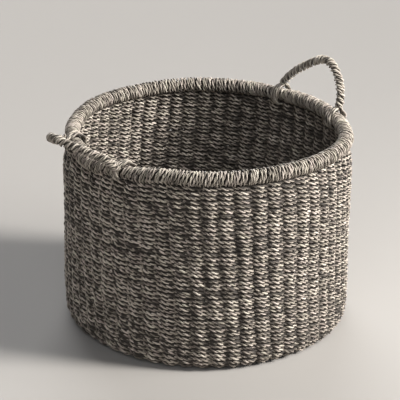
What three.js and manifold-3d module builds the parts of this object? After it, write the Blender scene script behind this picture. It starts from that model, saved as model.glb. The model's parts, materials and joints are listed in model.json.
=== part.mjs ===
// Twined seagrass basket with a bound rim and two rope handles that swing on it.
// Millimetres, +Z up. The origin is the centre of the base's underside.
// The handles stand on +X and -X, and the front of the basket is -Y.

import * as THREE from 'three';
import { mergeVertices } from 'three/addons/utils/BufferGeometryUtils.js';
import Module from 'manifold-3d';

const wasm = await Module();
wasm.setup();

// Clearances
const gap = 0.3;                  // between pieces that touch
const eyeClearance = 0.5;         // between a handle's eye and the bound rim, as it turns

// Stakes, the upright cords that the wall is woven on
const stakeCount = 56;            // a multiple of four: each cord gives two stakes, long and short ones in turn
const stakeDiameter = 4.2;
const stakeRadius = 176;          // centre line of the stakes in the upright wall
const stakeTopLean = 4;           // how far the stakes' tops lean in to meet the rim
const leanLength = 33.5;          // how far below the rim's centre line they start to lean
const longCordStart = 22;         // distance of a long cord's fold from the centre of the base
const shortCordStart = 50;        // the same for the short cords between them

// Weaving
const weftThickness = 2.6;        // weaving outside a stake
const wallRibDepth = 1.6;         // hollow of the wall between two stakes
const cornerRadius = 11;          // bend of the stakes at the base

// Rim
const rimHeight = 248.5;          // centre line of the rim above the floor
const rimInset = 6;               // centre line of the rim, inside the stakes of the upright wall
const rimCoreDiameter = 13.2;
const bindingThickness = 2.9;
const bindingRibCount = 72;
const bindingRibDepth = 0.9;
const leftSag = 5;                // how far the rim and the wall's top have sunk at the left handle
const sagPitches = 7;             // stake pitches that sink by the whole of it
const sagTaperFront = 2.5;        // stake pitches over which the sag fades to the front
const sagTaperBack = 7;           // and to the back
const sagPlay = 0.4;              // more room under the binding, whose facets bend with the sag in other places

// Handles
const ropeDiameter = 10.4;
const handleReach = 66.5;         // top of a loop's centre line above the rim's centre line
const handleSpanPitches = 6;      // stake pitches between a loop's two eyes
const handleDroop = 8;            // outward curve of a loop at its top
const archPoint = 1.2;            // 1 makes a loop half an ellipse, and more makes it pointed
const rightHandleSkew = 24;       // how far the loop's top is pushed over to the front
const leftHandleSkew = 0;
const rightHandleLean = 6;        // degrees outward from upright, as the loop rests
const leftHandleLean = 58;        // degrees likewise
const eyeCordDiameter = 3.1;
const eyeTurns = 3;
const eyeTurnGap = 0.5;           // between two turns of an eye

// Starter coil
const starterCordDiameter = 4.2;
const starterLoops = 1.75;
const starterLoopGap = 0.7;

// Derived sizes
const pitchAngle = 2 * Math.PI / stakeCount;
const cordRadius = stakeDiameter / 2;
const baseCordHeight = weftThickness + gap + cordRadius;
const baseTopUnderside = baseCordHeight + cordRadius + gap;
const bendCentreRadius = stakeRadius - cornerRadius;
const bendCentreHeight = baseCordHeight + cornerRadius;
const bendSteps = 2;
const stakeSpace = cordRadius + gap;
const bendSpace = stakeSpace / Math.cos(Math.PI / 4 / bendSteps);
const foldWidth = cordRadius + gap / 2;
const rimRadius = stakeRadius - rimInset;
const leanStart = rimHeight - leanLength;
const coreRadius = rimCoreDiameter / 2;
const rimSides = 8;
const flatToCorner = Math.cos(Math.PI / rimSides);
const rimRollRadius = coreRadius + gap / flatToCorner + bindingThickness;
const stakeTop = rimHeight - coreRadius * flatToCorner - gap;
const wallBottom = bendCentreHeight + gap;
const wallTop = rimHeight - rimRollRadius * flatToCorner - gap - sagPlay;
const handleHalfAngle = handleSpanPitches / 2 * pitchAngle;
const handleHalfSpan = rimRadius * Math.sin(handleHalfAngle);
const hingeX = rimRadius * Math.cos(handleHalfAngle);
const eyeTurnPitch = eyeCordDiameter + eyeTurnGap;
const eyeWidth = eyeTurns * eyeTurnPitch + eyeCordDiameter;
const eyeSteps = 16;              // facets in a turn

// Smallest radius that clears the rim, which crosses an eye at a slant and curves away from its axis
const eyeBore = rimRollRadius / Math.cos(handleHalfAngle)
  + eyeWidth / 2 * Math.tan(handleHalfAngle)
  + eyeWidth ** 2 / (8 * rimRadius * Math.cos(handleHalfAngle) ** 3)
  + eyeClearance;
const eyeCentreRadius = eyeBore + eyeCordDiameter / 2;
const eyeReach = Math.hypot(eyeCentreRadius, eyeCordDiameter) + eyeCordDiameter / 2;

// Materials
const cordLook = (name, color, roughness) => {
  const material = new THREE.MeshStandardMaterial({ color, roughness, metalness: 0 });
  material.name = name;
  return material;
};
const seagrass = (name) => cordLook(name, 0x8f8478, 0.85);
const paleSeagrass = (name) => cordLook(name, 0xa3978a, 0.8);
const darkSeagrass = (name) => cordLook(name, 0x756a60, 0.9);

const basket = new THREE.Group();

function addPiece(parent, name, geometry, material) {
  const mesh = new THREE.Mesh(geometry, material(name));
  mesh.name = name;
  parent.add(mesh);
  return mesh;
}

// A route that a sweep follows with one section at each of its stations
class StationRoute extends THREE.Curve {
  constructor(stations) {
    super();
    this.stations = stations;
  }

  getPoint(t, target = new THREE.Vector3()) {
    const last = this.stations.length - 1;
    const index = Math.min(Math.floor(t * last), last - 1);
    return target.lerpVectors(this.stations[index], this.stations[index + 1], t * last - index);
  }

  getTangent(t, target = new THREE.Vector3()) {
    const last = this.stations.length - 1;
    const index = Math.round(t * last);
    const step = (from, to) => this.stations[to].clone().sub(this.stations[from]).normalize();
    target.set(0, 0, 0);
    if (index > 0) target.add(step(index - 1, index));
    if (index < last) target.add(step(index, index + 1));
    return target.normalize();
  }

  getUtoTmapping(u) {
    return u;
  }
}

function roundSection(radius, sides) {
  const corners = [];
  for (let i = 0; i < sides; i++) {
    const angle = 2 * Math.PI * i / sides;
    corners.push(new THREE.Vector2(radius * Math.cos(angle), radius * Math.sin(angle)));
  }
  return new THREE.Shape(corners);
}

function sweep(stations, radius, sides) {
  return new THREE.ExtrudeGeometry(roundSection(radius, sides), {
    steps: stations.length - 1,
    extrudePath: new StationRoute(stations),
  });
}

// A turned piece with a corner at every stake, from [radius, height] points
function turn(profile) {
  const points = profile.map(([radius, height]) => new THREE.Vector2(radius, height));
  const geometry = new THREE.LatheGeometry(points, stakeCount, Math.PI / 2 + pitchAngle / 2);
  return geometry.rotateX(Math.PI / 2);
}

function toSolid(geometry) {
  const bare = geometry.clone();
  bare.deleteAttribute('normal');
  bare.deleteAttribute('uv');
  const merged = mergeVertices(bare, 1e-4);
  return new wasm.Manifold(new wasm.Mesh({
    numProp: 3,
    vertProperties: Float32Array.from(merged.attributes.position.array),
    triVerts: Uint32Array.from(merged.index.array),
  }));
}

function toGeometry(solid) {
  const mesh = solid.getMesh();
  const geometry = new THREE.BufferGeometry();
  geometry.setAttribute('position', new THREE.BufferAttribute(mesh.vertProperties, 3));
  geometry.setIndex(new THREE.BufferAttribute(mesh.triVerts, 1));
  geometry.computeVertexNormals();
  return geometry;
}

function cut(geometry, tools) {
  let solid = toSolid(geometry);
  for (const tool of tools) solid = solid.subtract(tool);
  return toGeometry(solid);
}

// Base: a disc of weaving under the cords and another over them
function baseDisc(underside) {
  return turn([
    [0, underside],
    [bendCentreRadius - gap, underside],
    [bendCentreRadius - gap, underside + weftThickness],
    [0, underside + weftThickness],
  ]);
}

// A quarter circle round the stakes' bend, from under it to the wall
function bendArc(radius, steps) {
  const points = [];
  for (let i = 0; i <= steps; i++) {
    const angle = Math.PI / 2 * i / steps;
    points.push([bendCentreRadius + radius * Math.sin(angle), bendCentreHeight - radius * Math.cos(angle)]);
  }
  return points;
}

// The rounded corner between the base and the wall, as a quarter ring between two arcs
function cornerRing(innerArc, outerArc) {
  const profile = [...outerArc, ...innerArc.reverse()];
  profile.push(profile[0]);
  return turn(profile);
}

// The starter coil: a flat spiral of cord inside the folds of the long cords
function starterCoil() {
  const loopPitch = starterCordDiameter + starterLoopGap;
  const room = longCordStart - foldWidth - cordRadius - gap - starterCordDiameter / 2;
  const outer = Math.sqrt(room ** 2 - starterCordDiameter ** 2);
  const stepsPerLoop = 12;
  const turns = [];
  for (let i = 0; i <= starterLoops * stepsPerLoop; i++) {
    const reach = outer - loopPitch * i / stepsPerLoop;
    const angle = 2 * Math.PI * i / stepsPerLoop;
    turns.push(new THREE.Vector3(reach * Math.cos(angle), reach * Math.sin(angle), baseCordHeight));
  }
  // The inner end is tucked in towards the centre
  const end = turns.at(-1);
  const along = end.clone().sub(turns.at(-2)).normalize();
  const inward = new THREE.Vector3(-end.x, -end.y, 0).normalize();
  const firstRun = turns[0].clone().sub(turns[1]);
  return wind('starter_coil', turns, starterCordDiameter, firstRun, along.add(inward));
}

// A wound cord: a tube along its turns, with a straight run from each end
function wind(name, turns, diameter, firstRun, lastRun) {
  const stations = [
    turns[0].clone().add(firstRun.setLength(diameter)),
    ...turns,
    turns.at(-1).clone().add(lastRun.setLength(diameter)),
  ];
  console.log(`${name}: least gap to itself ${leastGap(stations, diameter).toFixed(2)} mm`);
  return sweep(stations, diameter / 2, 5);
}

// The least gap between stretches of a cord that are over a few diameters apart along it
function leastGap(stations, diameter) {
  const route = new StationRoute(stations);
  const count = 8 * (stations.length - 1);
  const points = [];
  let along = 0;
  for (let i = 0; i <= count; i++) {
    const point = route.getPoint(i / count);
    if (i > 0) along += point.distanceTo(points[i - 1].point);
    points.push({ point, along });
  }
  let least = Infinity;
  for (const a of points) {
    for (const b of points) {
      if (b.along - a.along > 4 * diameter) least = Math.min(least, a.point.distanceTo(b.point));
    }
  }
  return least - diameter;
}

// Wall: one side's weaving, lofted up the wall, with a rib over each stake and a channel that holds it
function wallSide(side) {
  const halfPitch = stakeRadius * pitchAngle / 2;
  const channelDepth = stakeSpace / Math.sqrt(1 - (stakeSpace / halfPitch) ** 2);
  const crest = channelDepth + weftThickness;
  const ribs = [-wallRibDepth, -0.25 * wallRibDepth, 0, -0.25 * wallRibDepth];
  const face = [];
  const channel = [];
  for (let stake = 0; stake < stakeCount; stake++) {
    ribs.forEach((depth, i) => {
      face.push(wallPoint(stake + i / ribs.length, side * (crest + depth)));
    });
    channel.push(wallPoint(stake, side * gap / 2));
    channel.push(wallPoint(stake + 0.5, side * channelDepth));
  }
  const outline = new THREE.Shape(side > 0 ? face : channel);
  outline.holes.push(new THREE.Path(side > 0 ? channel : face));

  // The levels of the loft, and how far the stakes lean in at each
  const topLean = stakeTopLean * (wallTop - leanStart) / (stakeTop - leanStart);
  const levels = [[wallBottom, 0], [leanStart, 0], [wallTop, topLean]];
  const steps = levels.length - 1;
  const geometry = new THREE.ExtrudeGeometry(outline, { depth: steps, steps, bevelEnabled: false });
  const place = geometry.attributes.position;
  for (let i = 0; i < place.count; i++) {
    const [height, lean] = levels[Math.round(place.getZ(i))];
    const scale = 1 - lean / Math.hypot(place.getX(i), place.getY(i));
    place.setXYZ(i, place.getX(i) * scale, place.getY(i) * scale, height);
  }
  return geometry;
}

// A point of the wall's plan, at a place counted in stake pitches and an offset from the stakes' centre line
function wallPoint(pitches, offset) {
  const angle = pitches * pitchAngle;
  return new THREE.Vector2((stakeRadius + offset) * Math.cos(angle), (stakeRadius + offset) * Math.sin(angle));
}

// A cord folded into two neighbouring stakes: it turns at its fold, runs out over the base and goes up the wall
function foldedCord(index, foldRadius) {
  const centre = (2 * index + 1) * pitchAngle;
  const out = new THREE.Vector2(Math.cos(centre), Math.sin(centre));
  const leg = (side) => {
    const angle = centre + side * pitchAngle / 2;
    const at = (radius, height) => new THREE.Vector3(radius * Math.cos(angle), radius * Math.sin(angle), height);
    const stations = [at(stakeRadius - stakeTopLean, stakeTop), at(stakeRadius, leanStart)];
    const bend = bendArc(cornerRadius, bendSteps).reverse();
    return [...stations, ...bend.map(([radius, height]) => at(radius, height))];
  };
  const fold = [-90, -30, 30, 90].map((degrees) => {
    const turnAngle = THREE.MathUtils.degToRad(degrees);
    const along = foldRadius - foldWidth * Math.cos(turnAngle);
    const across = foldWidth * Math.sin(turnAngle);
    return new THREE.Vector3(along * out.x - across * out.y, along * out.y + across * out.x, baseCordHeight);
  });
  return sweep([...leg(-1), ...fold, ...leg(1).reverse()], cordRadius, 5);
}

// The binding: a helical ridge that climbs round the rim, bored for the core and slotted for the stakes
function rimBinding() {
  const ridgeStations = 2 * bindingRibCount;
  const positions = [];
  const faces = [];
  for (let station = 0; station < ridgeStations; station++) {
    const roll = station % 2 ? rimRollRadius - bindingRibDepth : rimRollRadius;
    for (let side = 0; side < rimSides; side++) {
      const angle = 2 * Math.PI * (station + 2 * side / rimSides) / ridgeStations;
      const section = 2 * Math.PI * (side + 0.5) / rimSides;
      const radius = rimRadius + roll * Math.cos(section);
      positions.push(radius * Math.cos(angle), radius * Math.sin(angle), rimHeight + roll * Math.sin(section));
      const corner = (s, j) => ((s + (j === rimSides ? 2 : 0)) % ridgeStations) * rimSides + j % rimSides;
      const a = corner(station, side);
      const b = corner(station + 1, side);
      const c = corner(station + 1, side + 1);
      const d = corner(station, side + 1);
      faces.push(a, b, c, a, c, d);
    }
  }
  const ridge = new THREE.BufferGeometry();
  ridge.setAttribute('position', new THREE.Float32BufferAttribute(positions, 3));
  ridge.setIndex(faces);

  // The slot leans with the stakes, and ends above their slanting tops
  const slope = stakeTopLean / (stakeTop - leanStart);
  const slotTop = stakeTop + cordRadius * slope + gap;
  const slotBottom = rimHeight - rimRollRadius - gap;
  const slotCentre = (height) => stakeRadius - slope * (height - leanStart);
  const slotHalf = stakeSpace * Math.hypot(1, slope);
  const slot = turn([
    [slotCentre(slotBottom) - slotHalf, slotBottom],
    [slotCentre(slotBottom) + slotHalf, slotBottom],
    [slotCentre(slotTop) + slotHalf, slotTop],
    [slotCentre(slotTop) - slotHalf, slotTop],
    [slotCentre(slotBottom) - slotHalf, slotBottom],
  ]);
  return cut(ridge, [toSolid(rimHoop(coreRadius + gap / flatToCorner)), toSolid(slot)]);
}

// A hoop round the rim's centre line
function rimHoop(radius) {
  const profile = [];
  for (let side = 0; side <= rimSides; side++) {
    const section = 2 * Math.PI * (side % rimSides + 0.5) / rimSides;
    profile.push([rimRadius + radius * Math.cos(section), rimHeight + radius * Math.sin(section)]);
  }
  return turn(profile);
}

// How far the rim has sunk, at an angle round the basket from +X
function rimSag(angle) {
  const fromLeft = THREE.MathUtils.euclideanModulo(angle, 2 * Math.PI) - Math.PI;
  const taper = fromLeft > 0 ? sagTaperFront : sagTaperBack;
  const share = THREE.MathUtils.clamp((Math.abs(fromLeft) / pitchAngle - sagPitches / 2) / taper, 0, 1);
  return leftSag * (1 + Math.cos(Math.PI * share)) / 2;
}

// Lowers a piece with the rim: not at all at the wall's foot, and by the whole sag from where the stakes lean
function settle(geometry) {
  const place = geometry.attributes.position;
  for (let i = 0; i < place.count; i++) {
    const share = THREE.MathUtils.clamp((place.getZ(i) - wallBottom) / (leanStart - wallBottom), 0, 1);
    place.setZ(i, place.getZ(i) - share * rimSag(Math.atan2(place.getY(i), place.getX(i))));
  }
  geometry.computeVertexNormals();
  return geometry;
}

// Handles. In a loop's own frame Y is its hinge axis, Z is up the loop and X is outward.
const limbStart = eyeReach + gap;

// The loop's centre line, from the limb at +Y over the top. The skew moves its top along the hinge axis.
function loopStations(skew) {
  const archSteps = 18;
  const at = (y, height) => {
    const rise = (height / handleReach) ** 2;
    return new THREE.Vector3(handleDroop * rise, y - skew * rise, height);
  };
  const stations = [at(handleHalfSpan, limbStart - ropeDiameter / 4)];
  for (let i = 0; i <= archSteps; i++) {
    const angle = Math.PI * i / archSteps;
    const across = Math.sign(Math.cos(angle)) * Math.abs(Math.cos(angle)) ** archPoint;
    const up = Math.sin(angle) ** archPoint;
    stations.push(at(handleHalfSpan * across, limbStart + (handleReach - limbStart) * up));
  }
  stations.push(at(-handleHalfSpan, limbStart - ropeDiameter / 4));
  return stations;
}

// A cylinder round the hinge axis at one end of a loop
function hingeCylinder(radius, width, end) {
  return new THREE.CylinderGeometry(radius, radius, width, 32).translate(0, end * handleHalfSpan, 0);
}

// The rope, whose ends are coped to sit on the eyes
function loopRope(skew) {
  const rope = sweep(loopStations(skew), ropeDiameter / 2, 8);
  const seats = [-1, 1].map((end) => toSolid(hingeCylinder(limbStart, 3 * ropeDiameter, end)));
  return cut(rope, seats);
}

// An eye: turns of the rope's strand round the rim, with both ends under the rope
function handleEye(name, end) {
  const stations = [];
  for (let i = 0; i <= eyeTurns * eyeSteps; i++) {
    const angle = 2 * Math.PI * i / eyeSteps;
    const along = end * handleHalfSpan + eyeTurnPitch * (i / eyeSteps - eyeTurns / 2);
    stations.push(new THREE.Vector3(
      eyeCentreRadius * Math.sin(angle),
      along,
      eyeCentreRadius * Math.cos(angle),
    ));
  }
  const outward = new THREE.Vector3(1, 0, 0);
  return wind(name, stations, eyeCordDiameter, outward.clone().negate(), outward);
}

// Where a loop stands: on its hinge axis, leaning outward
function handleGroup(side, lean, hingeHeight) {
  const group = new THREE.Group();
  group.position.set(side * hingeX, 0, hingeHeight);
  group.rotation.order = 'ZYX';
  group.rotation.set(0, THREE.MathUtils.degToRad(lean), side > 0 ? 0 : Math.PI);
  return group;
}

// The room that the eyes need where they pass through the top of the wall, before the wall settles
function eyeNotches() {
  const notches = [];
  for (const side of [1, -1]) {
    const group = handleGroup(side, 0, rimHeight);
    group.updateMatrix();
    for (const end of [-1, 1]) {
      const room = hingeCylinder(eyeReach + eyeClearance, eyeWidth + 2 * eyeClearance, end);
      notches.push(toSolid(room.applyMatrix4(group.matrix)));
    }
  }
  return notches;
}

const notches = eyeNotches();

addPiece(basket, 'base_weave_lower', baseDisc(0), seagrass);
addPiece(basket, 'base_weave_upper', baseDisc(baseTopUnderside), seagrass);
addPiece(basket, 'starter_coil', starterCoil(), darkSeagrass);
addPiece(basket, 'corner_weave_outer', cornerRing(
  bendArc(cornerRadius + bendSpace, bendSteps),
  bendArc(cornerRadius + stakeSpace + weftThickness, 2 * bendSteps),
), seagrass);
addPiece(basket, 'corner_weave_inner', cornerRing(
  bendArc(cornerRadius - stakeSpace - weftThickness, bendSteps),
  bendArc(cornerRadius - bendSpace, bendSteps),
), seagrass);
addPiece(basket, 'wall_weave_outer', settle(cut(wallSide(1), notches)), seagrass);
addPiece(basket, 'wall_weave_inner', settle(cut(wallSide(-1), notches)), seagrass);
addPiece(basket, 'rim_core', settle(rimHoop(coreRadius)), darkSeagrass);
addPiece(basket, 'rim_binding', settle(rimBinding()), paleSeagrass);

for (let cord = 0; cord < stakeCount / 2; cord++) {
  const fold = cord % 2 ? shortCordStart : longCordStart;
  const name = `stake_pair_${String(cord + 1).padStart(2, '0')}`;
  addPiece(basket, name, settle(cut(foldedCord(cord, fold), notches)), darkSeagrass);
}

for (const [name, side, lean, skew, hingeHeight] of [
  ['right', 1, rightHandleLean, rightHandleSkew, rimHeight],
  ['left', -1, leftHandleLean, leftHandleSkew, rimHeight - leftSag],
]) {
  const group = handleGroup(side, lean, hingeHeight);
  basket.add(group);
  addPiece(group, `${name}_handle_rope`, loopRope(skew), paleSeagrass);
  for (const [place, end] of [['front', -side], ['back', side]]) {
    const eye = `${name}_handle_eye_${place}`;
    addPiece(group, eye, handleEye(eye, end), paleSeagrass);
  }
}

export default basket;
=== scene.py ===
"""A twined seagrass basket with a bound rim and two rope handles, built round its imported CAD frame.

Metres, +Z up. The handles stand on +X and -X, and the front of the basket is -Y.
"""

import json
import math

import bpy
import numpy as np
from mathutils import Matrix, Vector


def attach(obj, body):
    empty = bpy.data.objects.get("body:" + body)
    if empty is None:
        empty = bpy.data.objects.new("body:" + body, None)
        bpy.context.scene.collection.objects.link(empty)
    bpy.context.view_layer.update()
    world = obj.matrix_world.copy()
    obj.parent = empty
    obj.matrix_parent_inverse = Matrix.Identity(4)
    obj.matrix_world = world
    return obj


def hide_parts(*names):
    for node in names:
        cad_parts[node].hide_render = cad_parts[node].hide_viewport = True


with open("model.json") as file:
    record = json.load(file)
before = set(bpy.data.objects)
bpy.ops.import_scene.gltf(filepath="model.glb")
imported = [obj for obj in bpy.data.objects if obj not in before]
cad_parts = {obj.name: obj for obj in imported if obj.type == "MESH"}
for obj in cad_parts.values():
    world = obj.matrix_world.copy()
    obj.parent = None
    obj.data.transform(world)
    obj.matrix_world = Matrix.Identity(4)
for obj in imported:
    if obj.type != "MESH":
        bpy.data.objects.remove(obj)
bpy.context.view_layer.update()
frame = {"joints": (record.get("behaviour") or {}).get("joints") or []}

MM = 0.001
TURN = 2 * math.pi
DOWN = (0.0, 0.0, -1.0)
ANY_PHASE = 6.28                  # a cord's plies start anywhere round it, up to this angle
ANY_FIBRE = 50                    # and its fibres anywhere along their pattern, up to this place

# Stakes
STAKES = 56
PITCH = TURN / STAKES
STAKE_RADIUS = 176 * MM           # of the circle that the stakes stand on
STAKE_THICK = 3.8 * MM
STAKE_STEP = 2.6 * MM             # between the points of a stake's line
STAKE_PLY_REACH = 0.95 * MM       # of a stake's two plies from its centre line
STAKE_PLY_HALF = 1.0 * MM
STAKE_TINT = 0.3
LEG_OFFSET = STAKE_THICK * 0.52   # from a folded cord's middle to each of its legs
FOLD_POINTS = 6
CORNER_RADIUS = 11 * MM
SPOKE_HEIGHT = 5 * MM             # centre line of the cords in the base
WALL_BOTTOM = SPOKE_HEIGHT + CORNER_RADIUS
LEAN_START = 215 * MM             # height from which the stakes lean inward
STAKE_TOP = 242 * MM
TOP_LEAN = 4 * MM                 # how far inward their tops lean
SKEW = math.radians(5.3)          # how far their tops lean round the basket, against the angle

# Places along the stakes, as distances from the base's centre
BEND_START = STAKE_RADIUS - CORNER_RADIUS
BEND_END = BEND_START + CORNER_RADIUS * math.pi / 2
STAKE_END = BEND_END + STAKE_TOP - SPOKE_HEIGHT - CORNER_RADIUS
HUB_START = 21 * MM               # where the weaving's first turn ends
LONG_FOLD = 22 * MM               # where the long cords fold back
SHORT_START = 50 * MM             # where the short cords fold back, and join the weaving
SPLIT_START = 95 * MM             # where the weaving parts each cord's two legs
SPLIT_SPAN = SPLIT_START - 20 * MM, SPLIT_START + 10 * MM
WALL_START = 168 * MM             # where the base's last row ends
WALL_END = 405.5 * MM             # where the weaving goes up under the rim

# Spiral of twining
ROW_PITCH = 5.5 * MM
HUB_PITCH = 3 * MM                # how far the first turn moves outward
LAST_ROW = WALL_END + 0.9 * ROW_PITCH     # where the last turn ends, under the rim
BANDS = 8                         # pieces that the wall's weaving is made of
BASE_REACH = 3.7 * MM             # of a weft out of the fabric, where it passes a spoke
EDGE_REACH = 3.6 * MM
WALL_REACH = 3.75 * MM
BASE_HOLD = 0.8                   # share of its reach that a weft keeps in the base
CLOSE_HOLD = 0.74                 # and on the wall's left, where the weaving is close
RIM_SQUEEZE = 0.45                # share that it loses under the rim
PULL = 1.2 * MM                   # how far the weaving is pulled inward under the handles' eyes
CROSSING_RISE = 1.0 * MM          # of one weft where they cross, and the other's fall
CROSSING_SWELL = 0.3              # how much wider a ply is there
CORNER_SWELL = 0.2                # how much thicker the cords are at the corner
SHARPNESS = 0.15                  # of a weft's bend over a stake
PLY_PITCH = 16 * MM
PLY_REACHES = 0.9 * MM, 1.05 * MM         # of a weft's plies from its centre line, outward and sideways
PLY_HALVES = 0.95 * MM, 1.08 * MM         # half of a ply's thickness, outward and sideways
CORE_HALVES = 0.75 * MM, 2.9 * MM         # of the dark core that fills a weft: painted shade that shows in the gaps between rows
CORE_PAINTED_SHADE_TINT = -0.2
WEFT_TINT = 0.69
CLOSE_PAINTED_SHADE = 0.14                # painted shade: how much darker a weft is where it crosses, deep in the fabric, on the wall's left
OPEN_PAINTED_SHADE = 0.34                 # and how much is added elsewhere
LOW_SHADE = 0.13                  # how much darker the wall's lowest rows are
CLOSE_CONTRAST = 0.5              # how much more the plies differ on the wall's left

# Spans along the stakes over which something fades in or out
CORNER_IN = 162 * MM, 170 * MM
CORNER_OUT = 182 * MM, 190 * MM
HOLD_SPAN = WALL_START + 10 * MM, WALL_START + 40 * MM
LOW_SPAN = WALL_START + 5 * MM, WALL_START + 75 * MM
PULL_SPAN = WALL_END - 14 * MM, WALL_END - 5 * MM
SQUEEZE_SPAN = WALL_END - 4 * MM, WALL_END + 2 * MM
UNEVEN_SPAN = 100 * MM, WALL_START

# Noise: its spacing along a cord, in crossings, wraps or metres, and its size
ROW_NOISE = 2, 0.3 * MM
PLACE_NOISE = 1, 0.3 * MM
REACH_NOISE = 1, 0.22 * MM
THICK_NOISE = 1.3, 0.1
TWIST_NOISE = 1.5, 0.8
WEFT_TINT_NOISE = 1, 0.09
PLY_TINT_NOISE = 0.31, 0.2
STAKE_TINT_NOISE = 0.03, 0.1
STARTER_TINT_NOISE = 0.008, 0.15
WRAP_NOISE = 1, 0.12
WRAP_FINE_NOISE = 0.5, 0.07
ROLL_NOISE = 1, 0.15 * MM
BINDING_THICK_NOISE = 1.3, 0.06
BINDING_TWIST_NOISE = 0.8, 0.8
BINDING_TINT_NOISE = 0.8, 0.1
BINDING_PLY_NOISE = 0.4, 0.15
ROPE_TWIST_NOISE = 0.012, 0.35
ROPE_THICK_NOISE = 0.007, 0.11
ROPE_TINT_NOISE = 0.006, 0.2

# Rim
HINGES = {joint["name"].split("_")[0]: Vector(joint["pos_m"]) for joint in frame["joints"]}
RIM_HEIGHT = HINGES["right"].z
HALF_SPAN_ANGLE = 3 * PITCH       # from a handle's middle to its eyes
RIM_RADIUS = HINGES["right"].x / math.cos(HALF_SPAN_ANGLE)
RIM_ROLL = 9.9 * MM               # half of the bound rim's thickness
WRAPS = 240
WRAP_STEPS = 32
BINDING_DEPTH = 3.4 * MM          # of the binding cord's centre line under the eyes, which squeeze it
BINDING_RISE = 1.4 * MM           # how much higher it lies elsewhere
BINDING_LAY = 19 * MM
BINDING_REACHES = 0.95 * MM, 1.05 * MM    # of its plies, outward and sideways
BINDING_HALVES = 0.95 * MM, 0.96 * MM
BINDING_TINT = 0.62
WRAP_SLANT = 0.4                  # how far a wrap leans each way, as a share of the space between wraps
SLANT_START = 0.6                 # where round the rim's section it leans neither way
HOOP_CORDS = 6                    # round one more
HOOP_POINTS = 360
HOOP_TURNS = 12
HOOP_REACH = 4.0 * MM
HOOP_HALF = 2.0 * MM
# the rim's core is near black: painted shade in the gaps between the binding's wraps
HOOP_PAINTED_SHADE_TINT = 0.05

# Handles
HALF_SPAN = RIM_RADIUS * math.sin(HALF_SPAN_ANGLE)
LOOP_POINTS = 240
FOOT_POINTS = 5
LEANS = {"right": 6, "left": 58}          # degrees outward
SKEWS = {"right": 12 * MM, "left": 0}     # how far a loop's top leans to the front
REACHES = {"right": 66 * MM, "left": 67.5 * MM}   # of a loop's top from its hinge
DROOPS = {"right": 8 * MM, "left": 2.4 * MM}      # how far a loop's top droops outward
ARCH_POINTS = {"right": (1.6, 1.12), "left": (1.2, 1.2)}   # of the limbs: 1 is round, 2 is straight
FOOT_SHIFT = {"right": 2 * MM, "left": 0}  # how far outside the rim's top a loop's front foot stands
FOOT_FADE = 0.5                   # share of a loop's height from which that shift fades towards its top
WARPS = {"right": (0, 0), "left": (4 * MM, 5.4 * MM)}  # how far the front limb lies up, and the back one down
WARP_RISE = 16 * MM               # of a limb, over which its warp grows
LIMB_START = 16 * MM
FOOT_LENGTH = 3 * MM
ROPE_STRANDS = 3
ROPE_LAY = 21 * MM
ROPE_REACH = 3.5 * MM             # of its strands from the rope's centre line
ROPE_STEP = 0.9 * MM
ROPE_STRAND = {"plies": 3, "ply_reach": 1.42 * MM, "ply_half": 1.02 * MM, "pitch": 26 * MM}
# the right handle's rope is tinted lighter and the left's darker: painted light and shade, as the left handle
# stands on the shaded side
ROPE_LIT_AND_SHADED_TINTS = {"right": 0.88, "left": 0.7}
GROOVE_PAINTED_SHADE = 0.3                # painted shade: how much darker a ply is between the strands
EYE_TURNS = 3
EYE_POINTS = 64
EYE_RADIUS = 12.7 * MM
EYE_PITCH = 4.0 * MM
EYE_ENDS = 4, 356                 # degrees round the rim
EYE_RISE = 1.2 * MM               # how far an eye's turns rise into the loop's foot
EYE_RISE_END = math.radians(70)
EYE_GATHER = 0.55                 # share of their pitch that they lose there
EYE_STRAND = {"plies": 2, "ply_reach": 1.0 * MM, "ply_half": 1.05 * MM, "pitch": 30 * MM}
# the eyes likewise: painted light on the right handle and painted shade on the left
EYE_LIT_AND_SHADED_TINTS = {"right": 0.88, "left": 0.74}

# Starter coil
STARTER_TURNS = 3.8
STARTER_POINTS = 240
STARTER_REACH = 17 * MM
STARTER_PITCH = 4.1 * MM
STARTER_LAY = 12 * MM
STARTER_PLIES = 3
STARTER_REACHES = 1.15 * MM, 1.2 * MM
STARTER_HALVES = 1.2 * MM, 1.25 * MM
STARTER_TINT = 0.55

# The rim and wall have settled under the left handle, and the rim slumps outward between its eyes
LEFT_SAG = RIM_HEIGHT - HINGES["left"].z
SAG_HALF = 3.5 * PITCH            # half of the stretch that has sunk all the way
SAG_FRONT = 2.5 * PITCH           # over which the rim rises again to the front
SAG_BACK = 7 * PITCH              # and to the back
SLUMP_HALF = HALF_SPAN_ANGLE * 0.8
SLUMP_OUT = 5 * MM
SLUMP_DOWN = 3 * MM

# Waves round the basket: their size, count and start, and how their start drifts with height
WALL_WAVES = (0.7, 2, 0.6, 0), (0.5, 3, 2.1, 12), (0.35, 5, 1.0, -25), (0.25, 9, 0, 40)  # in millimetres
STRAY_WAVES = (0.06, 5, 0, 14), (0.035, 17, 1.7, -30)     # in stake pitches
RIM_WAVES = (0.5 * MM, 3, 0.4, 0), (0.3 * MM, 7, 0, 0)
SLANT_WAVES = ((0.25, 2, 1.0, 0),)

# Humps round the basket: their size, and their direction and width as angles
FULL_LEFT = 2.2, math.radians(144), 0.5       # in millimetres, as the next two
FULL_RIGHT = 2.0, math.radians(-36), 0.5
FULL_CORNER = 2.8, math.radians(-50), 0.6
BULGE = 3.2 * MM, math.radians(-45), math.radians(15)
BACK_RISE = 1.2 * MM, math.radians(58), 0.35
CLOSE_WEAVE = 1, math.radians(192), 0.7
WALL_EYE_WIDTH = 0.2              # of what the eyes hold still or press down
BINDING_EYE_WIDTH = 0.09
WEAVE_EYE_WIDTH = 0.08

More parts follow.
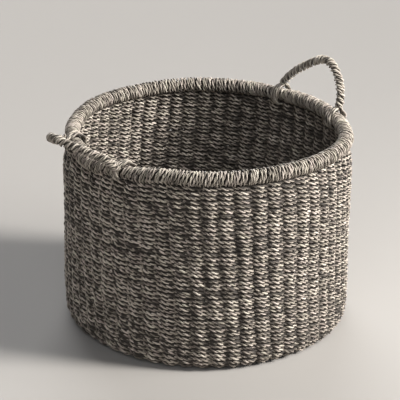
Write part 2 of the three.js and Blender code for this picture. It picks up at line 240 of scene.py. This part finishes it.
# Heights over which they fade in or out
LEFT_HEIGHTS = 0, 50 * MM
CORNER_HEIGHTS = 110 * MM, 20 * MM
TOP_HEIGHTS = 200 * MM, 235 * MM
BULGE_HEIGHTS = 225 * MM, 247 * MM

# Grass
STREAK_CONTRAST = 1.1
STREAK_GLOSS = -0.25              # change of roughness along the streaks: the pale ones are smoother
DRIFT_CONTRAST = 0.3
FLANK_PAINTED_SHADE = 0.5                 # painted shade: how much darker a cord's sides are than its crest

# Camera and lamps
CAMERA_AZIMUTH = -36
LAMP_AIM = Vector((0, 0, 0.1))
SUN_DISTANCE = 3
WARM = (1.0, 0.97, 0.93)
SOFT = (1.0, 0.98, 0.95)
COOL = (0.95, 0.97, 1.0)

rng = np.random.default_rng(56)


class Cords:
    """Gathers tubes into one mesh. Each point keeps its place on its cord for the material."""

    def __init__(self):
        self.points = []
        self.quads = []
        self.caps = []
        self.fibre = []
        self.tint = []
        self.count = 0

    def tube(self, line, out, half_out, half_side, sides, tint, closed=False):
        """Adds a tube along a line, given half its thickness along out and half its thickness sideways."""
        steps = len(line)
        normal, side = frames(line, out, closed)
        turn = TURN * np.arange(sides) / sides
        across = np.cos(turn)[None, :, None] * normal[:, None, :] * as_column(half_out, steps)
        along = np.sin(turn)[None, :, None] * side[:, None, :] * as_column(half_side, steps)
        self.points.append((line[:, None, :] + across + along).reshape(-1, 3))

        start = rng.uniform(0, ANY_FIBRE)
        fibre = np.empty((steps, sides, 3))
        fibre[:, :, 0] = np.cos(turn)
        fibre[:, :, 1] = np.sin(turn)
        fibre[:, :, 2] = (lengths(line) / PLY_PITCH + start)[:, None]
        self.fibre.append(fibre.reshape(-1, 3))
        self.tint.append(np.repeat(np.broadcast_to(tint, steps), sides))

        ring = np.arange(steps if closed else steps - 1)[:, None] * sides
        here = ring + np.arange(sides)
        beside = ring + (np.arange(sides) + 1) % sides
        total = steps * sides
        quads = np.stack([here, (here + sides) % total, (beside + sides) % total, beside], axis=2)
        self.quads.append(quads.reshape(-1, 4) + self.count)
        if not closed:
            self.caps.append(np.arange(sides) + self.count)
            self.caps.append(np.arange(sides)[::-1] + self.count + total - sides)
        self.count += total

    def build(self, name, body, material, nodes):
        """Makes the piece, which stands for the CAD nodes and moves with a body."""
        mesh = bpy.data.meshes.new(name)
        points = np.concatenate(self.points).astype(np.float32)
        quads = np.concatenate(self.quads)
        caps = np.concatenate(self.caps) if self.caps else np.zeros(0, int)
        sizes = [4] * len(quads) + [len(cap) for cap in self.caps]
        mesh.vertices.add(len(points))
        mesh.vertices.foreach_set("co", points.ravel())
        mesh.loops.add(quads.size + caps.size)
        mesh.loops.foreach_set("vertex_index", np.concatenate([quads.ravel(), caps]).astype(np.int32))
        mesh.polygons.add(len(sizes))
        starts = np.concatenate([[0], np.cumsum(sizes)[:-1]])
        mesh.polygons.foreach_set("loop_start", starts.astype(np.int32))
        mesh.update(calc_edges=True)
        mesh.shade_smooth()
        write_attribute(mesh, "fibre", "FLOAT_VECTOR", "vector", np.concatenate(self.fibre))
        write_attribute(mesh, "tint", "FLOAT", "value", np.concatenate(self.tint))
        mesh.materials.append(material)
        piece = bpy.data.objects.new(name, mesh)
        bpy.context.scene.collection.objects.link(piece)
        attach(piece, body)
        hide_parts(*nodes)


def write_attribute(mesh, name, kind, field, values):
    """Gives each of a mesh's points a value that its material can read."""
    attribute = mesh.attributes.new(name, kind, "POINT")
    attribute.data.foreach_set(field, values.astype(np.float32).ravel())


def as_column(value, steps):
    """One value, or one for each step, shaped to multiply a step's vectors."""
    return np.broadcast_to(value, steps)[:, None, None]


def unit(vectors):
    """The same vectors, each 1 long."""
    return vectors / np.linalg.norm(vectors, axis=-1, keepdims=True)


def lengths(line):
    """The distance along a line to each of its points."""
    return np.concatenate([[0], np.cumsum(np.linalg.norm(np.diff(line, axis=0), axis=1))])


def resample(line, step):
    """The same line with its points evenly spaced."""
    along = lengths(line)
    places = np.linspace(0, along[-1], max(4, round(along[-1] / step)))
    return np.stack([np.interp(places, along, line[:, axis]) for axis in range(3)], axis=1)


def frames(line, out, closed=False):
    """The normal nearest to out and the side vector at each point of a line."""
    if closed:
        tangent = unit(np.roll(line, -1, axis=0) - np.roll(line, 1, axis=0))
    else:
        tangent = unit(np.gradient(line, axis=0))
    normal = unit(out - np.sum(out * tangent, axis=1, keepdims=True) * tangent)
    return normal, np.cross(tangent, normal)


def lay(line, out, phase, across, along):
    """A line wound round another: across is its reach along out, and along its reach sideways."""
    normal, side = frames(line, out)
    shift = np.cos(phase)[:, None] * normal * as_column(across, len(line))[:, 0]
    shift = shift + np.sin(phase)[:, None] * side * as_column(along, len(line))[:, 0]
    return line + shift


def ease(share):
    """A share from 0 to 1, with a soft start and end."""
    return share * share * (3 - 2 * share)


def smoothstep(low, high, value):
    """From 0 at low to 1 at high."""
    return ease(np.clip((value - low) / (high - low), 0, 1))


def smooth_noise(places, spacing, size):
    """Random values that change smoothly along a cord, one new value at each spacing."""
    knots = np.arange(math.floor(places[0] / spacing), math.ceil(places[-1] / spacing) + 2)
    values = rng.normal(0, size, len(knots))
    share = places / spacing
    low = np.floor(share)
    blend = ease(share - low)
    index = (low - knots[0]).astype(int)
    return values[index] * (1 - blend) + values[index + 1] * blend


def away(angle, place):
    """The angle between two directions round the basket."""
    return np.abs((angle - place + math.pi) % TURN - math.pi)


def hump(angle, size, place, width):
    """From size at one direction round the basket to 0 away from it."""
    return size * np.exp(-(away(angle, place) / width) ** 2)


def waves(parts, angle, height=0):
    """The sum of sine waves round the basket."""
    total = 0
    for size, count, start, drift in parts:
        total = total + size * np.sin(count * angle + start + drift * height)
    return total


def clear_of_eyes(angle, width):
    """From 0 at each of the handles' eyes to 1 away from them."""
    share = np.ones_like(angle)
    for hinge in (0, math.pi):
        for end in (-1, 1):
            share = share * (1 - hump(angle, 1, hinge + end * HALF_SPAN_ANGLE, width))
    return share


def sag(angle):
    """How far the rim has settled at an angle."""
    from_left = np.mod(angle, TURN) - math.pi
    share = (np.abs(from_left) - SAG_HALF) / np.where(from_left > 0, SAG_FRONT, SAG_BACK)
    return LEFT_SAG * (1 + np.cos(math.pi * np.clip(share, 0, 1))) / 2


def between_left_eyes(angle):
    """From 0 at the left handle's eyes to 1 midway between them."""
    share = away(angle, math.pi) / SLUMP_HALF
    return np.cos(np.clip(share, 0, 1) * math.pi / 2) ** 2


def unevenness(angle, height):
    """How far the hand-made wall stands out of a true circle."""
    near_top = smoothstep(*TOP_HEIGHTS, height)
    full = hump(angle, *FULL_LEFT) * smoothstep(*LEFT_HEIGHTS, height) + hump(angle, *FULL_RIGHT)
    full = full + hump(angle, *FULL_CORNER) * smoothstep(*CORNER_HEIGHTS, height)
    wave = waves(WALL_WAVES, angle, height) + full * (1 - near_top)
    held = near_top * (1 - clear_of_eyes(angle, WALL_EYE_WIDTH))
    return wave * MM * (1 - held) + hump(angle, *BULGE) * smoothstep(*BULGE_HEIGHTS, height)


def wander(angle, height):
    """How far the stakes stray sideways, as an angle."""
    return PITCH * waves(STRAY_WAVES, angle, height)


def openness(angle):
    """From 0 on the left, where the stakes hardly show through the weaving, to 1 elsewhere."""
    return 1 - hump(angle, *CLOSE_WEAVE)


def along_stakes(place):
    """Radius, height and outward direction of the stakes' line, at a place along it."""
    turned = np.clip((place - BEND_START) / CORNER_RADIUS, 0, math.pi / 2)
    radius = np.minimum(place, BEND_START) + CORNER_RADIUS * np.sin(turned)
    height = WALL_BOTTOM - CORNER_RADIUS * np.cos(turned) + np.maximum(place - BEND_END, 0)
    lean = np.clip((height - LEAN_START) / (STAKE_TOP - LEAN_START), 0, None)
    return radius - TOP_LEAN * lean, height, np.sin(turned), -np.cos(turned)


def on_fabric(angle, place, offset):
    """Points at an angle round the basket, a place along the stakes and an offset out of the fabric."""
    radius, height, out_radius, out_height = along_stakes(place)
    angle = angle + SKEW * (1 - np.clip(height / RIM_HEIGHT, 0, 1)) + wander(angle, height)
    radius = radius + offset * out_radius + unevenness(angle, height) * smoothstep(*UNEVEN_SPAN, place)
    settled = np.clip((height - WALL_BOTTOM) / (LEAN_START - WALL_BOTTOM), 0, 1)
    height = height + offset * out_height - settled * sag(angle)
    cos, sin = np.cos(angle), np.sin(angle)
    points = np.stack([radius * cos, radius * sin, height], axis=1)
    out = np.stack([out_radius * cos, out_radius * sin, out_height + 0 * cos], axis=1)
    return points, out


def turn_at(place):
    """The number of turns of the spiral of twining from the hub to a place along the stakes."""
    return (place - HUB_START) / ROW_PITCH


def weft_hold(angle, row):
    """The share of its reach that a weft keeps."""
    hold = BASE_HOLD + (1 - BASE_HOLD) * smoothstep(*HOLD_SPAN, row)
    hold = hold - RIM_SQUEEZE * smoothstep(*SQUEEZE_SPAN, row)
    return hold * (CLOSE_HOLD + (1 - CLOSE_HOLD) * openness(angle))


def twine(cords, crossings, first_angle, start, end, steps, sides, reach):
    """A length of the spiral of twining: two wefts that cross between all neighbouring stakes.

    It runs between two places along the stakes. Each turn has a number of crossings and each crossing
    a number of steps, and a stake stands at the first angle.
    """
    shift = (PITCH - first_angle) / TURN
    first, last = turn_at(start) + shift, turn_at(end) + shift
    count = round((last - first) * crossings * steps) + 1
    passed = np.linspace(first * crossings, last * crossings, count)
    angle = first_angle + TURN * passed / crossings
    turn = passed / crossings - shift
    row = HUB_START + np.where(turn > 0, ROW_PITCH, HUB_PITCH) * turn + smooth_noise(passed, *ROW_NOISE)
    pulled = (1 - clear_of_eyes(angle, WEAVE_EYE_WIDTH)) * smoothstep(*PULL_SPAN, row)
    corner = smoothstep(*CORNER_IN, row) * (1 - smoothstep(*CORNER_OUT, row))
    low = 1 - smoothstep(*LOW_SPAN, row)
    open_here = openness(angle)
    for weft in (0, 1):
        wave = math.pi * (passed + weft)
        swing = np.cos(wave) * (1 - SHARPNESS * np.sin(wave) ** 2)
        crossing = 1 - np.abs(swing)
        place = row - CROSSING_RISE * np.sin(wave) + smooth_noise(passed, *PLACE_NOISE)
        place = np.minimum(place, WALL_END + ROW_PITCH)
        offset = reach * swing * weft_hold(angle, row) + smooth_noise(passed, *REACH_NOISE) - PULL * pulled
        line, out = on_fabric(angle, place, offset)
        thick = 1 + smooth_noise(passed, *THICK_NOISE) + CORNER_SWELL * corner
        swell = 1 + CROSSING_SWELL * crossing
        phase = TURN * lengths(line) / PLY_PITCH + smooth_noise(passed, *TWIST_NOISE)
        phase = phase + rng.uniform(0, ANY_PHASE)
        tint = WEFT_TINT + smooth_noise(passed, *WEFT_TINT_NOISE)
        # painted shade where the wefts cross, deep between the stakes
        tint = tint - (CLOSE_PAINTED_SHADE + OPEN_PAINTED_SHADE * open_here) * crossing - LOW_SHADE * low
        for ply in (0, math.pi):
            strand = lay(line, out, phase + ply, PLY_REACHES[0] * thick, PLY_REACHES[1] * thick)
            ply_tint = tint + smooth_noise(passed, *PLY_TINT_NOISE) * (1 + CLOSE_CONTRAST * (1 - open_here))
            cords.tube(strand, out, PLY_HALVES[0] * thick, PLY_HALVES[1] * thick * swell, sides, ply_tint)
        # the weft's dark core, at every second point: painted shade that shows between the rows
        cords.tube(line[::2], out[::2], *CORE_HALVES, sides=4, tint=CORE_PAINTED_SHADE_TINT)


def base_weave(material):
    """The base's weaving: a middle with fewer stakes to go round, and two rings out to the corner."""
    cords = Cords()
    start = HUB_START - ROW_PITCH
    twine(cords, STAKES // 4, PITCH, start, SHORT_START, steps=9, sides=5, reach=BASE_REACH)
    twine(cords, STAKES // 2, PITCH, SHORT_START, SPLIT_START, steps=9, sides=5, reach=BASE_REACH)
    cords.build("base_weave_middle", "basket", material, ["base_weave_upper"])
    middle = (SPLIT_START + WALL_START) / 2
    for name, start, end in ("outer", SPLIT_START, middle), ("edge", middle, WALL_START):
        cords = Cords()
        twine(cords, STAKES, PITCH / 2, start, end, steps=8, sides=5, reach=EDGE_REACH)
        cords.build(f"base_weave_{name}", "basket", material, ["base_weave_lower"])


def wall_weave(material):
    """The wall's weaving, in bands. The first one holds the corner."""
    edges = np.linspace(WALL_START, LAST_ROW, BANDS + 1)
    hidden = [["corner_weave_outer", "corner_weave_inner"], ["wall_weave_outer", "wall_weave_inner"]]
    for band in range(BANDS):
        cords = Cords()
        twine(cords, STAKES, PITCH / 2, edges[band], edges[band + 1], steps=11, sides=6, reach=WALL_REACH)
        cords.build(f"wall_weave_band_{band + 1}", "basket", material, hidden[min(band, 1)])


def stake_line(centre, fold):
    """A cord's line up the wall, back across the base to its fold, round it and out again."""
    places = np.arange(STAKE_END, fold, -STAKE_STEP)
    parted = smoothstep(*SPLIT_SPAN, places)
    apart = LEG_OFFSET / places * (1 - parted) + PITCH / 2 * parted
    legs = [on_fabric(centre + side * apart, places, 0 * places) for side in (-1, 1)]
    turn = np.linspace(-math.pi / 2, math.pi / 2, FOLD_POINTS)[1:-1]
    across = LEG_OFFSET * np.sin(turn)
    reach = fold - LEG_OFFSET * np.cos(turn)
    cos, sin = math.cos(centre + SKEW), math.sin(centre + SKEW)
    fold_height = np.full(len(turn), SPOKE_HEIGHT)
    fold_line = np.stack([reach * cos - across * sin, reach * sin + across * cos, fold_height], axis=1)
    fold_out = np.tile(DOWN, (len(turn), 1))
    line = np.concatenate([legs[0][0], fold_line, legs[1][0][::-1]])
    out = np.concatenate([legs[0][1], fold_out, legs[1][1][::-1]])
    return line, out


def stakes(material):
    """The cords that the weaving holds. Each gives two neighbouring stakes."""
    cords = Cords()
    pairs = STAKES // 2
    for cord in range(pairs):
        line, out = stake_line((2 * cord + 1) * PITCH, SHORT_START if cord % 2 else LONG_FOLD)
        places = lengths(line)
        phase = -TURN * places / PLY_PITCH + rng.uniform(0, ANY_PHASE)
        for ply in (0, math.pi):
            strand = lay(line, out, phase + ply, STAKE_PLY_REACH, STAKE_PLY_REACH)
            tint = STAKE_TINT + smooth_noise(places, *STAKE_TINT_NOISE)
            cords.tube(strand, out, STAKE_PLY_HALF, STAKE_PLY_HALF, sides=5, tint=tint)
    nodes = [f"stake_pair_{cord + 1:02d}" for cord in range(pairs)]
    cords.build("stakes", "basket", material, nodes)


def rim_line(angle):
    """The radius and height of the rim's centre line."""
    lift = waves(RIM_WAVES, angle) + hump(angle, *BACK_RISE)
    slump = between_left_eyes(angle)
    radius = RIM_RADIUS + unevenness(angle, np.full_like(angle, RIM_HEIGHT)) + SLUMP_OUT * slump
    height = RIM_HEIGHT + lift * clear_of_eyes(angle, WALL_EYE_WIDTH) - sag(angle) - SLUMP_DOWN * slump
    return radius, height


def rim_binding(material):
    """One cord wound over the rim from end to end of the hoop."""
    cords = Cords()
    wrap = np.arange(WRAPS * WRAP_STEPS) / WRAP_STEPS
    section = TURN * wrap
    angle = TURN * wrap / WRAPS
    loose = smooth_noise(wrap, *WRAP_NOISE) + smooth_noise(wrap, *WRAP_FINE_NOISE)
    slant = WRAP_SLANT + waves(SLANT_WAVES, angle)
    angle = angle + TURN / WRAPS * (slant * np.sin(section - SLANT_START) + loose)
    radius, height = rim_line(angle)
    free = clear_of_eyes(angle, BINDING_EYE_WIDTH)
    roll = RIM_ROLL - BINDING_DEPTH + BINDING_RISE * free + smooth_noise(wrap, *ROLL_NOISE) * free
    out_radius, out_height = np.cos(section), np.sin(section)
    cos, sin = np.cos(angle), np.sin(angle)
    reach = radius + roll * out_radius
    line = np.stack([reach * cos, reach * sin, height + roll * out_height], axis=1)
    out = np.stack([out_radius * cos, out_radius * sin, out_height], axis=1)
    thick = 1 + smooth_noise(wrap, *BINDING_THICK_NOISE)
    phase = -TURN * lengths(line) / BINDING_LAY + smooth_noise(wrap, *BINDING_TWIST_NOISE)
    tint = BINDING_TINT + smooth_noise(wrap, *BINDING_TINT_NOISE)
    for ply in (0, math.pi):
        strand = lay(line, out, phase + ply, BINDING_REACHES[0] * thick, BINDING_REACHES[1] * thick)
        ply_tint = tint + smooth_noise(wrap, *BINDING_PLY_NOISE)
        half_out, half_side = BINDING_HALVES[0] * thick, BINDING_HALVES[1] * thick
        cords.tube(strand, out, half_out, half_side, sides=6, tint=ply_tint)
    cords.build("rim_binding_cord", "basket", material, ["rim_binding"])


def rim_core(material):
    """A hoop of cords laid together, under the binding, tinted near black as painted shade between the wraps.
    """
    cords = Cords()
    angle = np.linspace(0, TURN, HOOP_POINTS, endpoint=False)
    radius, height = rim_line(angle)
    cos, sin = np.cos(angle), np.sin(angle)
    out = np.stack([cos, sin, 0 * angle], axis=1)
    for cord in range(HOOP_CORDS + 1):
        place = TURN * cord / HOOP_CORDS + HOOP_TURNS * angle
        reach = 0 if cord == HOOP_CORDS else HOOP_REACH
        distance = radius + reach * np.cos(place)
        line = np.stack([distance * cos, distance * sin, height + reach * np.sin(place)], axis=1)
        cords.tube(line, out, HOOP_HALF, HOOP_HALF, sides=8, tint=HOOP_PAINTED_SHADE_TINT, closed=True)
    cords.build("rim_core_cords", "basket", material, ["rim_core"])


def starter(material):
    """The coil of cord that the spokes start round."""
    cords = Cords()
    turns = np.linspace(-STARTER_TURNS, 0, STARTER_POINTS)
    angle = TURN * turns + PITCH + SKEW
    reach = STARTER_REACH + STARTER_PITCH * turns
    line = np.stack([reach * np.cos(angle), reach * np.sin(angle), np.full_like(angle, SPOKE_HEIGHT)], axis=1)
    out = np.tile(DOWN, (len(angle), 1))
    places = lengths(line)
    phase = -TURN * places / STARTER_LAY
    for ply in range(STARTER_PLIES):
        strand = lay(line, out, phase + TURN * ply / STARTER_PLIES, *STARTER_REACHES)
        tint = STARTER_TINT + smooth_noise(places, *STARTER_TINT_NOISE)
        cords.tube(strand, out, *STARTER_HALVES, sides=7, tint=tint)
    cords.build("starter_coil_cord", "basket", material, ["starter_coil"])


def loop_line(name):
    """A handle's centre line in its own frame: Y along the hinge, Z up the loop, X outward."""
    turn = np.linspace(0, math.pi, LOOP_POINTS)
    point = np.where(turn < math.pi / 2, *ARCH_POINTS[name])
    reach = REACHES[name]
    y = HALF_SPAN * np.sign(np.cos(turn)) * np.abs(np.cos(turn)) ** point
    z = LIMB_START + (reach - LIMB_START) * np.clip(np.sin(turn), 0, 1) ** point
    foot = np.linspace(LIMB_START - FOOT_LENGTH, LIMB_START, FOOT_POINTS)[:-1]
    y = np.concatenate([np.full(len(foot), HALF_SPAN), y, np.full(len(foot), -HALF_SPAN)])
    z = np.concatenate([foot, z, foot[::-1]])
    rise = (z / reach) ** 2
    front = -np.sign(y) if name == "right" else np.sign(y)
    front_warp, back_warp = WARPS[name]
    warp = np.where(front > 0, -front_warp, back_warp) * np.abs(y) / HALF_SPAN
    x = DROOPS[name] * rise
    x = x + FOOT_SHIFT[name] * (front > 0) * (1 - smoothstep(FOOT_FADE * reach, reach, z))
    x = x + warp * smoothstep(LIMB_START, LIMB_START + WARP_RISE, z)
    return np.stack([x, y - SKEWS[name] * rise, z], axis=1)


def eye_turn(number, end):
    """One of an eye's turns round the rim, and its axis, in the handle's own frame."""
    turn = np.radians(np.linspace(*EYE_ENDS, EYE_POINTS))
    rise = 1 - smoothstep(0, EYE_RISE_END, turn)
    reach = EYE_RADIUS + rise * EYE_RISE
    shift = (number - (EYE_TURNS - 1) / 2) * EYE_PITCH
    y = end * HALF_SPAN + shift * (1 - EYE_GATHER * rise)
    line = np.stack([reach * np.sin(turn), y, reach * np.cos(turn)], axis=1)
    return line, np.stack([0 * y, y, 0 * y], axis=1)


def place_handle(points, name):
    """From a handle's own frame to the basket's."""
    half_turn = Matrix.Rotation(0 if name == "right" else math.pi, 3, "Z")
    turn = half_turn @ Matrix.Rotation(math.radians(LEANS[name]), 3, "Y")
    return points @ np.array(turn).T + np.array(HINGES[name])


def rope_strand(number, centre):
    """One of the rope's strands, wound round the loop's centre line."""
    out = np.tile([1.0, 0.0, 0.0], (len(centre), 1))
    phase = -TURN * (lengths(centre) / ROPE_LAY + number / ROPE_STRANDS)
    return lay(centre, out, phase, ROPE_REACH, ROPE_REACH)


def laid_strand(cords, line, centre, tint, plies, ply_reach, ply_half, pitch):
    """A strand of plies, twisted the same way round as the strands in the rope."""
    out = unit(line - centre)
    along = lengths(line)
    phase = -TURN * along / pitch + smooth_noise(along, *ROPE_TWIST_NOISE) + rng.uniform(0, ANY_PHASE)
    for ply in range(plies):
        turned = phase + TURN * ply / plies
        uneven = 1 + smooth_noise(along, *ROPE_THICK_NOISE)
        strand = lay(line, out, turned, ply_reach * uneven, ply_reach * uneven)
        # painted shade on each ply where it turns in towards the core, between the strands
        ply_tint = tint + smooth_noise(along, *ROPE_TINT_NOISE) - GROOVE_PAINTED_SHADE * (1 - np.cos(turned))
        cords.tube(strand, out, ply_half * uneven, ply_half * uneven, sides=7, tint=ply_tint)


def handle(name, material):
    """A loop of rope and its two eyes round the rim."""
    body = f"{name}_handle"
    cords = Cords()
    centre = resample(loop_line(name), ROPE_STEP)
    middle = place_handle(centre, name)
    for number in range(ROPE_STRANDS):
        line = place_handle(rope_strand(number, centre), name)
        laid_strand(cords, line, middle, ROPE_LIT_AND_SHADED_TINTS[name], **ROPE_STRAND)
    cords.build(f"{name}_handle_rope_strands", body, material, [f"{name}_handle_rope"])
    for end in (-1, 1):
        cords = Cords()
        for number in range(EYE_TURNS):
            line, middle = (place_handle(points, name) for points in eye_turn(number, end))
            laid_strand(cords, line, middle, EYE_LIT_AND_SHADED_TINTS[name], **EYE_STRAND)
        place = "front" if (end < 0) == (name == "right") else "back"
        cords.build(f"{name}_eye_{place}_turns", body, material, [f"{name}_handle_eye_{place}"])


def seagrass(name, dark, middle, pale, roughness):
    """Twisted grass: streaks along each cord, a colour that drifts from cord to cord, and painted shade on
    each cord's sides.
    """
    material = bpy.data.materials.new(name)
    material.use_nodes = True
    nodes = material.node_tree.nodes
    link = material.node_tree.links.new

    def add(kind, **inputs):
        """A node, with the values of its inputs."""
        node = nodes.new(f"ShaderNode{kind}")
        for socket, value in inputs.items():
            node.inputs[socket].default_value = value
        return node

    def add_attribute(attribute):
        """A node that reads the values kept at the mesh's points."""
        node = add("Attribute")
        node.attribute_name = attribute
        return node

    def cord_noise(stretch, detail, roughness=0.5, start=(0, 0, 0)):
        """Noise over a cord's own coordinates: two across it, and one along it."""
        space = add("Mapping", Location=start, Scale=stretch)
        link(fibre.outputs["Vector"], space.inputs["Vector"])
        noise = add("TexNoise", Scale=1.0, Detail=detail, Roughness=roughness)
        link(space.outputs["Vector"], noise.inputs["Vector"])
        return noise.outputs["Fac"]

    def calculate(operation, first, second):
        """The result of an operation on two values, each a number or another node's output."""
        node = add("Math")
        node.operation = operation
        for socket, value in zip(node.inputs, (first, second)):
            if isinstance(value, (int, float)):
                socket.default_value = value
            else:
                link(value, socket)
        return node.outputs["Value"]

    def centred(output, size):
        """A noise's output, spread evenly about 0."""
        return calculate("MULTIPLY", calculate("SUBTRACT", output, 0.5), size)

    def color_ramp(value, first, *between, last):
        """Colours that follow a value, each given with its place."""
        node = add("ValToRGB")
        stops = node.color_ramp.elements
        for stop, (place, color) in zip(stops, (first, last)):
            stop.position = place
            stop.color = (*color, 1)
        for place, color in between:
            stops.new(place).color = (*color, 1)
        link(value, node.inputs["Fac"])
        return node.outputs["Color"]

    fibre = add_attribute("fibre")
    tint = add_attribute("tint")
    streaks = cord_noise(stretch=(2.6, 2.6, 1.3), detail=3.0, roughness=0.65)
    drift = cord_noise(stretch=(0.25, 0.25, 0.9), detail=1.0)
    hue = cord_noise(stretch=(0.1, 0.1, 0.55), detail=1.0, start=(7.0, 3.0, 11.0))

    place = add("SeparateXYZ")
    link(fibre.outputs["Vector"], place.inputs["Vector"])
    # painted shade on each cord's sides, away from its crest
    flank = calculate("SUBTRACT", 1.0, calculate("ABSOLUTE", place.outputs["X"], 0.0))
    shade = calculate("ADD", tint.outputs["Fac"], centred(streaks, STREAK_CONTRAST))
    shade = calculate("ADD", shade, centred(drift, DRIFT_CONTRAST))
    shade = calculate("SUBTRACT", shade, calculate("MULTIPLY", flank, FLANK_PAINTED_SHADE))
    tone = color_ramp(shade, (0.08, dark), (0.5, middle), last=(0.92, pale))
    cast = color_ramp(hue, (0.36, (1.0, 0.955, 0.97)), last=(0.64, (0.97, 0.99, 0.93)))
    mixed = nodes.new("ShaderNodeMix")
    mixed.data_type = "RGBA"
    mixed.blend_type = "MULTIPLY"
    mixed.inputs["Factor"].default_value = 1.0
    link(tone, mixed.inputs["A"])
    link(cast, mixed.inputs["B"])

    bump = add("Bump", Strength=0.7, Distance=0.35 * MM)
    link(streaks, bump.inputs["Height"])
    shader = nodes["Principled BSDF"]
    shader.inputs["Specular IOR Level"].default_value = 0.35
    shader.inputs["Sheen Weight"].default_value = 0.05
    link(mixed.outputs["Result"], shader.inputs["Base Color"])
    link(calculate("ADD", centred(streaks, STREAK_GLOSS), roughness), shader.inputs["Roughness"])
    link(bump.outputs["Normal"], shader.inputs["Normal"])
    return material


def floor_material(color):
    """The floor's plain paint, which hardly shines."""
    material = bpy.data.materials.new("pale_floor")
    material.use_nodes = True
    shader = material.node_tree.nodes["Principled BSDF"]
    shader.inputs["Base Color"].default_value = (*color, 1)
    shader.inputs["Roughness"].default_value = 0.9
    shader.inputs["Specular IOR Level"].default_value = 0.15
    return material


def add_camera():
    """The camera at the photograph's place. Its aim is given by yaw, pitch and roll."""
    distance = 1.90159
    height = 0.94837
    yaw, pitch, roll = -0.004518, 0.397083, 0.02055
    focal_pixels, image_pixels = 1612.76, 400
    data = bpy.data.cameras.new("camera")
    data.sensor_width = 36
    data.lens = focal_pixels / image_pixels * data.sensor_width
    camera = bpy.data.objects.new("camera", data)
    bpy.context.scene.collection.objects.link(camera)
    forward = Vector((math.sin(yaw) * math.cos(pitch), math.cos(yaw) * math.cos(pitch), -math.sin(pitch)))
    right = Vector((math.cos(yaw), -math.sin(yaw), 0))
    up = right.cross(forward)
    level = Matrix((right, up, -forward)).transposed()
    azimuth = Matrix.Rotation(math.radians(CAMERA_AZIMUTH), 3, "Z")
    turned = azimuth @ level @ Matrix.Rotation(-roll, 3, "Z").inverted()
    place = azimuth @ Vector((0, -distance, height))
    camera.matrix_world = Matrix.Translation(place) @ turned.to_4x4()
    bpy.context.scene.camera = camera


def add_lamp(name, kind, azimuth, elevation, distance, strength, color):
    """A lamp aimed at the basket. Its azimuth is counted from the camera's right towards the camera."""
    data = bpy.data.lights.new(name, kind)
    data.energy = strength
    data.color = color
    lamp = bpy.data.objects.new(name, data)
    bpy.context.scene.collection.objects.link(lamp)
    turn = math.radians(CAMERA_AZIMUTH - azimuth)
    rise = math.radians(elevation)
    source = Vector((math.cos(turn) * math.cos(rise), math.sin(turn) * math.cos(rise), math.sin(rise)))
    lamp.rotation_euler = source.to_track_quat("Z", "Y").to_euler()
    lamp.location = source * distance + LAMP_AIM
    return lamp


def add_sun(name, azimuth, elevation, strength, angle, color):
    """A far lamp, whose width is given as an angle."""
    sun = add_lamp(name, "SUN", azimuth, elevation, SUN_DISTANCE, strength, color)
    sun.data.angle = math.radians(angle)


def add_softbox(name, azimuth, elevation, distance, strength, size, color):
    """A near, round lamp that the camera doesn't see."""
    box = add_lamp(name, "AREA", azimuth, elevation, distance, strength, color)
    box.data.shape = "DISK"
    box.data.size = size
    box.visible_camera = False


def add_world(fill_color, fill_strength, seen_color):
    """A weak fill light, and a pale wall that the camera sees, also in glossy and clear surfaces."""
    world = bpy.data.worlds.new("studio")
    bpy.context.scene.world = world
    world.use_nodes = True
    nodes = world.node_tree.nodes
    link = world.node_tree.links.new
    fill = nodes["Background"]
    fill.inputs["Color"].default_value = (*fill_color, 1)
    fill.inputs["Strength"].default_value = fill_strength
    seen = nodes.new("ShaderNodeBackground")
    seen.inputs["Color"].default_value = (*seen_color, 1)
    ray = nodes.new("ShaderNodeLightPath")
    looks = ray.outputs["Is Camera Ray"]
    for kind in "Is Glossy Ray", "Is Transmission Ray":
        larger = nodes.new("ShaderNodeMath")
        larger.operation = "MAXIMUM"
        link(looks, larger.inputs[0])
        link(ray.outputs[kind], larger.inputs[1])
        looks = larger.outputs["Value"]
    either = nodes.new("ShaderNodeMixShader")
    link(looks, either.inputs["Fac"])
    link(fill.outputs["Background"], either.inputs[1])
    link(seen.outputs["Background"], either.inputs[2])
    link(either.outputs["Shader"], nodes["World Output"].inputs["Surface"])


def add_stage():
    """A pale floor, and soft studio light."""
    bpy.ops.mesh.primitive_plane_add(size=30, location=(0, 0, 0))
    floor = bpy.context.object
    floor.name = "floor"
    floor.data.materials.append(floor_material((0.38, 0.363, 0.344)))
    add_world(fill_color=(0.9, 0.93, 1.0), fill_strength=0.04, seen_color=(0.58, 0.556, 0.524))
    add_sun("key", azimuth=7, elevation=31, strength=5.2, angle=14, color=WARM)
    add_sun("front", azimuth=95, elevation=41, strength=0.8, angle=45, color=COOL)
    add_sun("rear", azimuth=-98, elevation=25, strength=2.6, angle=40, color=COOL)
    add_softbox("softbox", azimuth=15, elevation=38, distance=1.0, strength=6.9, size=0.5, color=SOFT)


weave_grass = seagrass(
    "seagrass_weave", dark=(0.035, 0.029, 0.024), middle=(0.35, 0.306, 0.262),
    pale=(0.65, 0.592, 0.522), roughness=0.68)
stake_grass = seagrass(
    "seagrass_stakes", dark=(0.03, 0.025, 0.02), middle=(0.2, 0.17, 0.14),
    pale=(0.42, 0.37, 0.31), roughness=0.75)
rope_grass = seagrass(
    "seagrass_rope", dark=(0.04, 0.034, 0.028), middle=(0.36, 0.32, 0.275),
    pale=(0.64, 0.585, 0.52), roughness=0.64)

base_weave(weave_grass)
wall_weave(weave_grass)
stakes(stake_grass)
rim_core(stake_grass)
starter(stake_grass)
rim_binding(rope_grass)
handle("right", rope_grass)
handle("left", rope_grass)

add_camera()
add_stage()
bpy.context.scene.view_settings.view_transform = "Standard"
